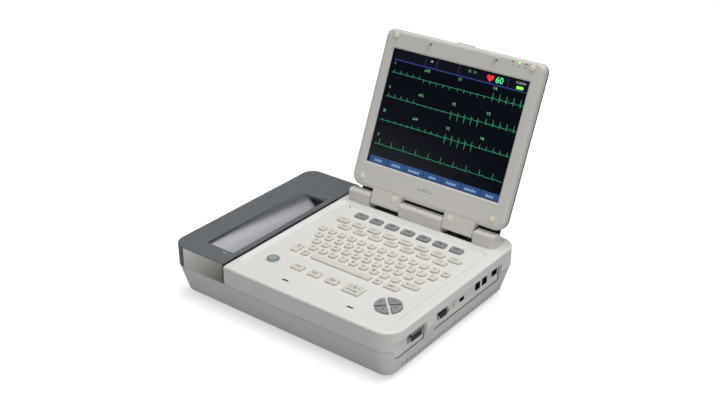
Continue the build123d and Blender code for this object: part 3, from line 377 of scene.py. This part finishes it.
WHITE_CASING = linear(233, 231, 228)
SLATE = linear(104, 109, 113)
BEZEL_GREY = linear(214, 211, 206)
SHELL_DARK = linear(44, 48, 55)
MATERIALS = {
    "casing": moulded_plastic("casing_plastic", WHITE_CASING, roughness=0.40, mottle=CASING_MOTTLE),
    "slate": moulded_plastic("slate_plastic", SLATE, roughness=0.34, mottle=0.03),
    # silver panel with a painted highlight falling from the upper left to the lower right
    "silver": painted_highlight_panel("silver_painted_highlight", linear(250, 250, 246), linear(132, 130, 124)),
    "bezel": moulded_plastic("bezel_plastic", BEZEL_GREY, mottle=CASING_MOTTLE),
    "dark_shell": moulded_plastic("shell_plastic", SHELL_DARK, roughness=0.45, mottle=0.03),
    "key_grey": silicone("grey_silicone", linear(142, 145, 143)),
    "key_cream": silicone("cream_silicone", linear(222, 218, 206)),
    "power_blue": silicone("blue_silicone", linear(128, 146, 150)),
    "bumper": silicone("bumper_silicone", linear(232, 229, 208)),
    "foot_rubber": silicone("foot_silicone", linear(30, 30, 31)),
    "roller_rubber": silicone("roller_silicone", linear(46, 46, 48)),
    # pane with painted shade towards the back left
    "smoked_glass": smoked_pane("smoked_pane", SLATE),
    "screen": screen_glass("screen_glass"),
    "lamp": lamp_lens("lamp_lens"),
    "paper": chart_paper("chart_paper"),
    "board": circuit_board("circuit_board"),
    "socket_black": moulded_plastic("socket_plastic", linear(40, 40, 42), roughness=0.38, rounding=0.0002),
    "socket_metal": metal("socket_shell", linear(186, 184, 178), 0.25),
    "steel": metal("steel", linear(176, 176, 178), 0.3, (1, 0.1, 1)),
    "brass": metal("brass", linear(206, 176, 104), 0.25),
    "aluminium": metal("aluminium", linear(190, 192, 194), 0.35, (0.1, 1, 1)),
    "gear_plastic": moulded_plastic("gear_plastic", linear(222, 220, 206), roughness=0.35, rounding=0.0001),
    "label": moulded_plastic("label_film", linear(202, 204, 205), roughness=0.3, rounding=0.0),
    "battery": moulded_plastic("battery_wrap", linear(52, 56, 64), roughness=0.3),
}

# Finishes of single nodes; socket centres and half sizes in metres
NAV_RUBBER = silicone("nav_silicone", linear(146, 148, 147))
NODE_MATERIALS = {
    "display_bezel": two_tone_shell("lid_plastic", BEZEL_GREY, SHELL_DARK, SHELL_SPLIT),
    "latch_bar": moulded_plastic("hook_plastic", linear(222, 219, 212), roughness=0.35, mottle=0.01),
    "nav_key_right": NAV_RUBBER,
    "nav_key_up": NAV_RUBBER,
    "nav_key_left": NAV_RUBBER,
    "nav_key_down": NAV_RUBBER,
    "patient_socket": shell_socket("patient_socket_face", -0.1027, 0.0564, 0.0124, 0.0046),
    "serial_socket": shell_socket("serial_socket_face", -0.0362, 0.0564, 0.0088, 0.0040),
}


def paint_nodes():
    """Give every CAD node its own finish or that of its record slot."""
    slots = {entry["node"]: entry["material_slot"] for entry in frame["record"]["subparts"]}
    for name, node in frame["nodes"].items():
        material = NODE_MATERIALS.get(name) or MATERIALS[slots[name]]
        node.data.materials.clear()
        node.data.materials.append(material)


# ---------------------------------------------------------------- drawing on surfaces
class Sheet:
    """Flat shapes collected into one mesh on a plane given by an origin and two directions."""

    def __init__(self, origin, across, along):
        self.origin = Vector(origin)
        self.across = Vector(across).normalized()
        self.along = Vector(along).normalized()
        self.vertices = []
        self.faces = []

    def point(self, x, y):
        return self.origin + (self.across * x + self.along * y) * MM

    def polygon(self, points):
        start = len(self.vertices)
        self.vertices += [self.point(x, y) for x, y in points]
        self.faces.append(list(range(start, start + len(points))))

    def box(self, x0, x1, y0, y1):
        self.polygon([(x0, y0), (x1, y0), (x1, y1), (x0, y1)])

    def stroke(self, points, width):
        """Ribbon of constant width along a polyline, with its joints closed."""
        half = width / 2
        sides = []
        for index, (x, y) in enumerate(points):
            before = Vector(points[max(index - 1, 0)])
            after = Vector(points[min(index + 1, len(points) - 1)])
            direction = (after - before).normalized()
            sides.append(((x - direction.y * half, y + direction.x * half),
                          (x + direction.y * half, y - direction.x * half)))
        for (left0, right0), (left1, right1) in zip(sides, sides[1:]):
            self.polygon([right0, right1, left1, left0])

    def text(self, words, x, y, size, weight=0.0, centred=True):
        """Letters or numbers as filled outlines, fattened by the given weight."""
        curve = bpy.data.curves.new("letters", "FONT")
        curve.body = words
        curve.size = size
        curve.resolution_u = 2
        curve.offset = weight
        if centred:
            curve.align_x = "CENTER"
            curve.align_y = "CENTER"
        holder = bpy.data.objects.new("letters", curve)
        bpy.context.collection.objects.link(holder)
        outline = holder.evaluated_get(bpy.context.evaluated_depsgraph_get()).to_mesh()
        start = len(self.vertices)
        self.vertices += [self.point(x + v.co.x, y + v.co.y) for v in outline.vertices]
        self.faces += [[start + i for i in face.vertices] for face in outline.polygons]
        bpy.data.objects.remove(holder)
        bpy.data.curves.remove(curve)

    def build(self, name, body, material):
        mesh = bpy.data.meshes.new(name)
        mesh.from_pydata(self.vertices, [], self.faces)
        mesh.update()
        piece = bpy.data.objects.new(name, mesh)
        bpy.context.collection.objects.link(piece)
        mesh.materials.append(material)
        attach(piece, body)
        return piece


# ---------------------------------------------------------------- the display
# Millimetres in the lid's own frame; the layers of the picture lie just in front of the glass
FACE_OUT = 9.5
INK_GAP = 0.06
GLASS_OUT = 5.9
BACK_LAYER = GLASS_OUT + 0.1
LINE_LAYER = GLASS_OUT + 0.2
TRACE_LAYER = GLASS_OUT + 0.25
FRONT_LAYER = GLASS_OUT + 0.3
PICTURE_LEFT = -118.0
PICTURE_RIGHT = 122.0
SCREEN_RIGHT = 123.0
SCREEN_BOTTOM = 55.8
STATUS_TOP = 238.4
STATUS_FOOT = 224.0
STATUS_DIVIDERS = (-60.0, -39.0, 1.0, 88.0)
STATUS_TEXT_Y = 234.0
LAMP_PLACES = (89.0, 99.6, 111.0)


def lid_sheet(out):
    """Drawing sheet parallel to the display, the given millimetres in front of the hinge axis."""
    return Sheet(LID_ORIGIN + LID_OUT * out * MM, (1, 0, 0), LID_UP)


# Name and r, s and t wave heights of each lead, one row of the screen per line
LEADS = [
    [("I", 5.0, -1.0, 1.2), ("aVR", -5.2, 0.8, -1.0), ("V1", 1.2, -4.2, 0.6), ("V4", 9.0, -4.0, 2.2)],
    [("II", 6.0, -1.0, 1.4), ("aVL", 1.0, -2.0, 0.4), ("V2", 5.0, -9.0, 2.4), ("V5", 8.0, -2.6, 1.8)],
    [("III", 2.4, -1.8, 0.6), ("aVF", 4.4, -1.0, 1.0), ("V3", 6.5, -9.0, 2.6), ("V6", 6.0, -1.4, 1.4)],
]
LEAD_STARTS = [-117.0, -60.0, 2.0, 64.0]
LEAD_ENDS = [-60.5, 1.5, 63.5, 120.5]
LEAD_BASELINES = [203.0, 164.2, 126.0]
RHYTHM_BASELINE = 87.0
BEAT_LENGTH = 12.0
RHYTHM_BEAT = 23.4
RHYTHM_WAVES = (9.0, -1.6, 2.0)
TRACE_WIDTH = 0.6
NAME_LIFT = 13.2
NAME_SIZE = 6.4


def heartbeat(x, y, length, r, s, t):
    """Points of one beat starting at x on the baseline y."""
    shape = [(0.0, 0.0), (0.16, 0.0), (0.21, 0.5), (0.26, 0.0), (0.34, -0.1 * abs(r) / 4)]
    shape += [(0.38, r), (0.42, s), (0.46, 0.0), (0.58, 0.1 * t), (0.66, t), (0.74, 0.0)]
    return [(x + share * length, y + height) for share, height in shape]


def lead_trace(start, end, baseline, waves, length):
    """Row of beats that fills one lead's stretch of screen."""
    points = []
    x = start
    while x + length <= end + 0.5 * length:
        points += heartbeat(x, baseline, length, *waves)
        x += length
    points = [point for point in points if point[0] < end]
    points.append((end, baseline))
    return points


def draw_traces():
    """Green traces of the twelve leads and the rhythm strip."""
    sheet = lid_sheet(TRACE_LAYER)
    for leads, baseline in zip(LEADS, LEAD_BASELINES):
        for (_, *waves), start, end in zip(leads, LEAD_STARTS, LEAD_ENDS):
            sheet.stroke(lead_trace(start, end, baseline, waves, BEAT_LENGTH), TRACE_WIDTH)
    rhythm = lead_trace(LEAD_STARTS[0], LEAD_ENDS[-1], RHYTHM_BASELINE, RHYTHM_WAVES, RHYTHM_BEAT)
    sheet.stroke(rhythm, TRACE_WIDTH)
    sheet.build("screen_traces", "lid", lit_pixels("trace_pixels", linear(58, 160, 112), 0.45))


def draw_lead_names():
    """Lead names above their traces, and paper speed and gain in the status bar."""
    sheet = lid_sheet(TRACE_LAYER)
    for leads, baseline in zip(LEADS, LEAD_BASELINES):
        for (name, *_), start in zip(leads, LEAD_STARTS):
            sheet.text(name, start + 2.0, baseline + NAME_LIFT, NAME_SIZE, centred=False)
    sheet.text("II", LEAD_STARTS[0] + 2.0, RHYTHM_BASELINE + NAME_LIFT, NAME_SIZE, centred=False)
    for words, x in (("25", 20.0), ("10", 29.0)):
        sheet.text(words, x, STATUS_TEXT_Y, 5.4)
    sheet.build("screen_names", "lid", lit_pixels("name_pixels", linear(110, 190, 130), 0.55))


def draw_rate_and_battery():
    """Large pulse rate and the charge sign at the right of the status bar."""
    rate = lid_sheet(TRACE_LAYER)
    rate.text("60", 73.0, 231.0, 13.5, weight=0.35)
    rate.build("screen_rate", "lid", lit_pixels("rate_pixels", linear(70, 214, 122), 0.8))
    battery = lid_sheet(TRACE_LAYER)
    battery.box(103.0, 114.0, 225.6, 230.2)
    battery.box(114.0, 115.2, 226.8, 229.0)
    battery.build("screen_battery", "lid", lit_pixels("battery_pixels", linear(142, 220, 74), 0.8))


def draw_status_bar():
    """Dark blue bar along the top of the screen with its dividers."""
    bar = lid_sheet(BACK_LAYER)
    bar.box(PICTURE_LEFT, PICTURE_RIGHT, STATUS_FOOT, STATUS_TOP)
    bar.build("screen_status_bar", "lid", lit_pixels("status_pixels", linear(6, 8, 26), 0.3))
    lines = lid_sheet(LINE_LAYER)
    lines.box(PICTURE_LEFT, PICTURE_RIGHT, STATUS_FOOT - 1.4, STATUS_FOOT)
    for x in STATUS_DIVIDERS:
        lines.box(x - 0.4, x + 0.4, STATUS_FOOT, STATUS_TOP)
    lines.build("screen_dividers", "lid", lit_pixels("divider_pixels", linear(48, 62, 128), 0.5))


SOFT_KEYS = 7
SOFT_KEY_PITCH = 34.6
SOFT_KEY_GAP = 0.9
SOFT_KEY_TOP = 67.7
HEART_POINTS = 24


def draw_soft_keys():
    """Blue row of on-screen keys with plain bars for their captions."""
    keys = lid_sheet(BACK_LAYER)
    captions = lid_sheet(LINE_LAYER)
    for index in range(SOFT_KEYS):
        x = PICTURE_LEFT + index * SOFT_KEY_PITCH
        right = min(x + SOFT_KEY_PITCH - SOFT_KEY_GAP, SCREEN_RIGHT - 0.5)
        keys.box(x, right, SCREEN_BOTTOM + 0.8, SOFT_KEY_TOP)
        middle = (x + right) / 2
        half = (right - x) * (0.2 + 0.06 * (index % 3))
        for step in range(5):
            left = middle - half + step * half * 0.4
            captions.box(left, left + half * 0.3, 59.6, 63.4 - 0.8 * ((step + index) % 2))
    keys.build("screen_soft_keys", "lid", lit_pixels("soft_key_pixels", linear(42, 74, 122), 0.45))
    captions.build("screen_captions", "lid", lit_pixels("caption_pixels", linear(128, 156, 190), 0.5))


def heart_outline(x, y, size):
    """Closed heart shape from a parametric curve."""
    points = []
    for step in range(HEART_POINTS):
        angle = 2 * math.pi * step / HEART_POINTS
        across = 16 * math.sin(angle) ** 3
        up = 13 * math.cos(angle) - 5 * math.cos(2 * angle)
        up -= 2 * math.cos(3 * angle) + math.cos(4 * angle)
        points.append((x + across * size / 32, y + up * size / 32))
    return list(reversed(points))


def draw_status_marks():
    """Red heart, clock digits and a small white mark in the status bar."""
    heart = lid_sheet(FRONT_LAYER)
    heart.polygon(heart_outline(57.2, 231.6, 12.4))
    heart.build("screen_heart", "lid", lit_pixels("heart_pixels", linear(226, 40, 44), 1.0))
    white = lid_sheet(TRACE_LAYER)
    white.text("12:00:00", 108.5, 235.0, 5.2)
    white.polygon([(-51.0, 232.4), (-47.0, 232.4), (-49.0, 236.4)])
    white.build("screen_marks", "lid", lit_pixels("mark_pixels", linear(176, 180, 190), 0.55))


def draw_lid_marks():
    """Plain pulse-line mark on the bezel and small symbols beside the lamps."""
    sheet = lid_sheet(FACE_OUT + INK_GAP)
    pulse = heartbeat(-16.0, 38.0, 30.0, 5.5, -3.0, 1.6) + [(12.0, 38.0)]
    sheet.stroke(pulse, 0.9)
    sheet.build("bezel_pulse_mark", "lid", printed_ink("bezel_ink", linear(92, 122, 134)))
    symbols = lid_sheet(FACE_OUT + INK_GAP)
    for x in LAMP_PLACES:
        symbols.box(x - 1.8, x + 1.8, 257.4, 258.4)
    symbols.build("lamp_symbols", "lid", printed_ink("symbol_ink", linear(120, 118, 112)))


# ---------------------------------------------------------------- key legends
def key_top(node):
    """Height of a key group's crown."""
    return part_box(node)[1][2] / MM


def deck_sheet(height):
    """Drawing sheet facing up at the given height above the table."""
    return Sheet((0, 0, height * MM), (1, 0, 0), (0, 1, 0))


CHARACTER_ROWS = [
    ("1234567890-=", -60.8, 19.5),
    ("QWERTYUIOP[]", -51.8, 0.2),
    ("ASDFGHJKL;'", -42.4, -18.2),
    ("ZXCVBNM,.", -33.2, -36.9),
]
KEY_PITCH = 19.05
ARROW_SPREAD = 2.3
LEGEND_GAP = 0.05

# First centre, pitch and height on the deck of the rows of wide keys
FUNCTION_KEY_X = -37.4
FUNCTION_KEY_Y = 87.5
PATIENT_KEY_X = -52.3
PATIENT_KEY_PITCH = 29.8
PATIENT_ROWS_Y = (61.0, 43.7)
COMMAND_KEY_X = -14.4
COMMAND_KEY_Y = -93.8
COMMAND_KEY_PITCH = 32.0
CAPTION_HALF = 6.0
POWER_KEY = (-60.2, -97.1)


def arrow(sheet, x, y, size, turn=0.0):
    """Triangle pointing along the given angle."""
    points = []
    for angle in (0.0, ARROW_SPREAD, -ARROW_SPREAD):
        points.append((x + size * math.cos(turn + angle), y + size * math.sin(turn + angle)))
    sheet.polygon(points)


def draw_character_legends():
    """One letter, number or sign on each character key, upper left as on a keyboard."""
    sheet = deck_sheet(key_top("character_keys") + LEGEND_GAP)
    for letters, first, y in CHARACTER_ROWS:
        for index, letter in enumerate(letters):
            sheet.text(letter, first + KEY_PITCH * index - 1.4, y + 1.0, 6.4, weight=0.08)
    backspace = CHARACTER_ROWS[0][1] + KEY_PITCH * 12
    arrow(sheet, backspace - 1.5, 19.5, 2.4, math.pi)
    sheet.box(backspace - 1.0, backspace + 3.0, 19.0, 20.0)
    sheet.build("character_legends", "character_keys_body", printed_ink("dark_ink", linear(58, 60, 64)))


def draw_modifier_legends():
    """Arrow signs on the wide and tall keys."""
    sheet = deck_sheet(key_top("modifier_keys") + LEGEND_GAP)
    arrow(sheet, 140.0, -37.2, 2.4, math.pi)
    sheet.stroke([(141.0, -37.2), (151.0, -37.2), (151.0, -34.0)], 0.9)
    arrow(sheet, -52.6, -45.6, 2.6, math.pi / 2)
    sheet.box(-53.1, -52.1, -50.0, -46.4)
    for x, half in ((-33.2, 2.6), (101.4, 2.6), (126.2, 6.0)):
        sheet.box(x - half, x + half, -55.4, -54.3)
        sheet.box(x - half, x + half * 0.4, -57.6, -56.6)
    sheet.build("modifier_legends", "modifier_keys_body", printed_ink("modifier_ink", linear(62, 64, 68)))


def draw_function_legends():
    """Numbered function keys."""
    sheet = deck_sheet(key_top("function_keys") + LEGEND_GAP)
    for index in range(7):
        x = FUNCTION_KEY_X + PATIENT_KEY_PITCH * index
        sheet.text("F" + str(index + 1), x, FUNCTION_KEY_Y, 8.0, weight=0.15)
    sheet.build("function_legends", "function_keys_body", printed_ink("function_ink", linear(62, 65, 66)))


def caption_bars(sheet, x, y, half, shift):
    """Two short broken bars that stand for a printed caption."""
    for step in range(4):
        left = x - half + step * half * 0.5
        width = half * (0.36 if (step + shift) % 2 else 0.28)
        sheet.box(left, left + width, y + 0.5, y + 1.9)
    for step in range(3):
        left = x - half * 0.7 + step * half * 0.5
        sheet.box(left, left + half * 0.32, y - 2.1, y - 0.9)


def draw_patient_legends():
    """Teal, dark and red captions of the oval keys."""
    height = key_top("patient_keys") + LEGEND_GAP
    teal = deck_sheet(height)
    dark = deck_sheet(height)
    red = deck_sheet(height)
    for index in range(8):
        target = teal if index < 4 or index == 7 else dark
        x = PATIENT_KEY_X + PATIENT_KEY_PITCH * index
        caption_bars(target, x, PATIENT_ROWS_Y[0], CAPTION_HALF, index)
    for index in range(7):
        target = red if index == 6 else dark
        x = FUNCTION_KEY_X + PATIENT_KEY_PITCH * index
        caption_bars(target, x, PATIENT_ROWS_Y[1], CAPTION_HALF, index)
    body = "patient_keys_body"
    teal.build("patient_legends_teal", body, printed_ink("teal_ink", linear(96, 156, 152)))
    dark.build("patient_legends_dark", body, printed_ink("grey_ink", linear(108, 108, 106)))
    red.build("patient_legends_red", body, printed_ink("red_ink", linear(214, 96, 84)))


def draw_command_legends():
    """Captions of the three command keys and the pulse sign of the start key."""
    sheet = deck_sheet(key_top("command_keys") + LEGEND_GAP)
    for index in range(3):
        caption_bars(sheet, COMMAND_KEY_X + COMMAND_KEY_PITCH * index, COMMAND_KEY_Y, 5.6, index)
    sheet.build("command_legends", "command_keys_body", printed_ink("command_ink", linear(66, 68, 70)))
    start = deck_sheet(key_top("start_key") + LEGEND_GAP)
    start.stroke(heartbeat(77.4, -90.4, 24.0, 6.4, -3.0, 2.0) + [(98.4, -90.4)], 1.3)
    for x0, x1 in ((78.6, 83.6), (84.8, 89.2), (90.4, 97.0)):
        start.box(x0, x1, -100.4, -97.6)
    start.build("start_legend", "start_key_body", printed_ink("start_ink", linear(76, 160, 158)))


def draw_power_legend():
    """Broken ring and bar on the power key."""
    x, y = POWER_KEY
    sheet = deck_sheet(key_top("power_key") + LEGEND_GAP)
    ring = []
    for step in range(25):
        angle = math.radians(125 + 290 * step / 24)
        ring.append((x + 4.0 * math.cos(angle), y + 4.0 * math.sin(angle)))
    sheet.stroke(ring, 0.9)
    sheet.box(x - 0.45, x + 0.45, y + 0.6, y + 5.2)
    sheet.build("power_legend", "power_key_body", printed_ink("power_ink", linear(216, 222, 222)))


NAV_CENTRE = (151.5, -97.7)
NAV_ARROW_REACH = 13.0
NAV_TURNS = {"nav_key_right": 0.0, "nav_key_up": 0.5, "nav_key_left": 1.0, "nav_key_down": 1.5}


def draw_nav_legends():
    """Arrow on each quarter of the direction pad."""
    for name, half_turns in NAV_TURNS.items():
        angle = half_turns * math.pi
        sheet = deck_sheet(key_top(name) + LEGEND_GAP)
        x = NAV_CENTRE[0] + NAV_ARROW_REACH * math.cos(angle)
        y = NAV_CENTRE[1] + NAV_ARROW_REACH * math.sin(angle)
        arrow(sheet, x, y, 2.6, angle)
        sheet.build(name + "_arrow", name + "_body", printed_ink(name + "_ink", linear(88, 92, 92)))


def draw_cover_mark():
    """Small paper-loading arrow beside the window."""
    sheet = deck_sheet(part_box("printer_cover")[1][2] / MM + LEGEND_GAP)
    arrow(sheet, -121.0, -137.4, 2.6, math.pi)
    sheet.box(-120.0, -115.0, -137.9, -136.9)
    sheet.build("cover_arrow", "lift_cover", printed_ink("cover_ink", linear(196, 200, 204)))


# ---------------------------------------------------------------- stage
FLOOR_HALF = 12.0
LIGHTS_AIM = (0, 0, 0.1)


def add_floor():
    """Pale studio floor that looks near white and throws only a little light back up."""
    mesh = bpy.data.meshes.new("floor")
    half = FLOOR_HALF
    corners = [(-half, -half, 0), (half, -half, 0), (half, half, 0), (-half, half, 0)]
    mesh.from_pydata(corners, [], [(0, 1, 2, 3)])
    floor = bpy.data.objects.new("floor", mesh)
    bpy.context.collection.objects.link(floor)
    shader = Shader("floor_paint")
    seen = shader.node("ShaderNodeLightPath").outputs["Is Camera Ray"]
    mixed = shader.blend_colours(seen, (0.34, 0.34, 0.34, 1), (0.9, 0.9, 0.9, 1))
    shader.link(mixed, shader.bsdf.inputs["Base Color"])
    shader.bsdf.inputs["Roughness"].default_value = 0.9
    shader.bsdf.inputs["Specular IOR Level"].default_value = 0.0
    shader.bsdf.inputs["Emission Color"].default_value = (1, 1, 1, 1)
    shader.link(shader.remap(seen, 0.0, 0.5, 0.0, 1.0), shader.bsdf.inputs["Emission Strength"])
    mesh.materials.append(shader.material)


def add_area_light(name, place, size, watts):
    """Square white soft box aimed at the object."""
    light = bpy.data.lights.new(name, "AREA")
    light.shape = "SQUARE"
    light.size = size
    light.energy = watts
    holder = bpy.data.objects.new(name, light)
    holder.location = place
    holder.rotation_euler = (Vector(LIGHTS_AIM) - Vector(place)).to_track_quat("-Z", "Y").to_euler()
    bpy.context.collection.objects.link(holder)


def add_lights():
    """Weak dome, a large soft box overhead and small ones right, front right and front left."""
    world = bpy.data.worlds.new("studio")
    world.use_nodes = True
    background = world.node_tree.nodes["Background"]
    background.inputs["Color"].default_value = (1, 1, 1, 1)
    background.inputs["Strength"].default_value = 0.2
    bpy.context.scene.world = world
    add_area_light("overhead", (0.3, 0.4, 2.6), 2.2, 58.0)
    add_area_light("right_fill", (1.2, -0.3, 0.14), 0.26, 2.1)
    add_area_light("front_right", (0.72, -0.85, 0.36), 0.4, 0.8)
    add_area_light("front_left", (-0.9, -1.1, 0.3), 0.5, 2.3)


def add_camera():
    """Camera at the viewing angle."""
    azimuth = math.radians(CAMERA_AZIMUTH)
    elevation = math.radians(CAMERA_ELEVATION)
    direction = Vector((math.sin(azimuth) * math.cos(elevation),
                        -math.cos(azimuth) * math.cos(elevation),
                        math.sin(elevation)))
    data = bpy.data.cameras.new("camera")
    data.lens = CAMERA_LENS
    data.sensor_width = CAMERA_SENSOR
    camera = bpy.data.objects.new("camera", data)
    camera.location = Vector(CAMERA_TARGET) + direction * CAMERA_DISTANCE
    camera.rotation_euler = (-direction).to_track_quat("-Z", "Y").to_euler()
    bpy.context.collection.objects.link(camera)
    bpy.context.scene.camera = camera


# Dark strips of painted shade in the grooves of the socket bays: plane in metres, heights and front and
# rear ends in mm
BAY_PLANE = 0.1993
BAY_FOOT = 38.5
BAY_CROWN = 68.2
BAY_ENDS = ((-143.0, -80.8), (-56.8, 115.2))
SHADE_STRIP_WIDTH = 1.5


def add_bay_shade_strips():
    """Dark strips of painted shade along the foot and the rear end of both socket bays, where the grooves
    lie in shadow.
    """
    # painted shade: dark grey sheets stand in for the shadow in the bay grooves
    shade_strip = moulded_plastic("bay_painted_shade", linear(84, 82, 79), roughness=0.6, rounding=0.0)
    for index, (front, rear) in enumerate(BAY_ENDS):
        sheet = Sheet((BAY_PLANE, 0, 0), (0, 1, 0), (0, 0, 1))
        sheet.box(front, rear, BAY_FOOT, BAY_FOOT + SHADE_STRIP_WIDTH)
        sheet.box(rear - SHADE_STRIP_WIDTH, rear, BAY_FOOT + SHADE_STRIP_WIDTH, BAY_CROWN)
        sheet.build("bay_shade_strip_" + str(index), "base", shade_strip)


paint_nodes()
draw_traces()
draw_lead_names()
draw_rate_and_battery()
draw_status_bar()
draw_soft_keys()
draw_status_marks()
draw_lid_marks()
draw_character_legends()
draw_modifier_legends()
draw_function_legends()
draw_patient_legends()
draw_command_legends()
draw_power_legend()
draw_nav_legends()
draw_cover_mark()
add_bay_shade_strips()
add_floor()
add_lights()
add_camera()
bpy.context.scene.view_settings.view_transform = "Standard"
